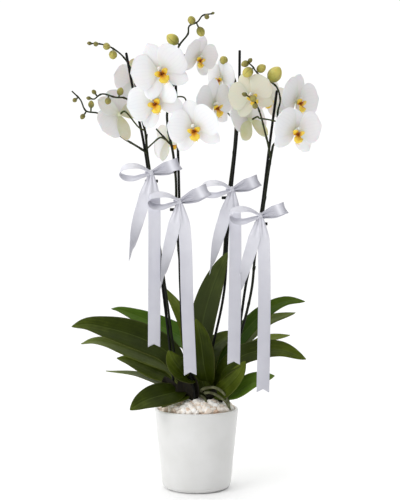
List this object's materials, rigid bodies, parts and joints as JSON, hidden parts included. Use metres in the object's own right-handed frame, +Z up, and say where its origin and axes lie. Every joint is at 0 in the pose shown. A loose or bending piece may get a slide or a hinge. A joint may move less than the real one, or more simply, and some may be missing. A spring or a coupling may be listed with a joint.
{
  "type": "potted orchid",
  "caption": "White moth orchids on tall staked flower spikes tied with satin bows, with strap leaves and stone chips, in a round tapered glazed cover pot.",
  "frame": {"origin": "middle of the pot's flat base, on the surface it stands on", "axes": "+Z up along the pot's axis, +X to the viewer's right and +Y away from the viewer when the bows face the viewer"},
  "size_m": [0.4143, 0.1953, 0.7817],
  "materials": {
    "pot_glaze": "satin",
    "clear_plastic": "gloss",
    "bark": "matte",
    "stone_chips": "matte",
    "stake_green": "satin",
    "stem_green": "satin",
    "crown_green": "satin",
    "leaf_green": "satin",
    "satin_ribbon": "satin",
    "petal_white": "matte",
    "lip_yellow": "matte"
  },
  "bodies": {
    "root": {"pot": "pot_glaze", "grow_pot": "clear_plastic", "potting_bark": "bark", "pebbles": "stone_chips", "stake_a": "stake_green", "spike_a": "stem_green", "bow_a": "satin_ribbon", "stake_b": "stake_green", "spike_b": "stem_green", "bow_b": "satin_ribbon", "stake_c": "stake_green", "spike_c": "stem_green", "bow_c": "satin_ribbon", "stake_d": "stake_green", "spike_d": "stem_green", "bow_d": "satin_ribbon", "crown_left": "crown_green", "crown_right": "crown_green", "leaf_left_long": "leaf_green", "leaf_left_back": "leaf_green", "leaf_left_middle": "leaf_green", "leaf_left_lower": "leaf_green", "leaf_left_edge": "leaf_green", "leaf_left_front": "leaf_green", "leaf_right_upright": "leaf_green", "leaf_right_broad": "leaf_green", "leaf_right_long": "leaf_green", "leaf_right_back": "leaf_green", "leaf_right_far": "leaf_green", "leaf_right_low": "leaf_green", "leaf_right_side": "leaf_green", "bloom_01": "petal_white", "bloom_02": "petal_white", "bloom_03": "petal_white", "bloom_04": "petal_white", "bloom_05": "petal_white", "bloom_06": "petal_white", "bloom_07": "petal_white", "bloom_08": "petal_white", "bloom_09": "petal_white", "bloom_10": "petal_white", "bloom_11": "petal_white", "bloom_12": "petal_white", "bloom_13": "petal_white", "bloom_14": "petal_white", "lip_01": "lip_yellow", "lip_02": "lip_yellow", "lip_03": "lip_yellow", "lip_04": "lip_yellow", "lip_05": "lip_yellow", "lip_06": "lip_yellow", "lip_07": "lip_yellow", "lip_08": "lip_yellow", "lip_09": "lip_yellow", "lip_10": "lip_yellow", "lip_11": "lip_yellow", "lip_12": "lip_yellow", "lip_13": "lip_yellow", "lip_14": "lip_yellow"}
  },
  "joints": []
}
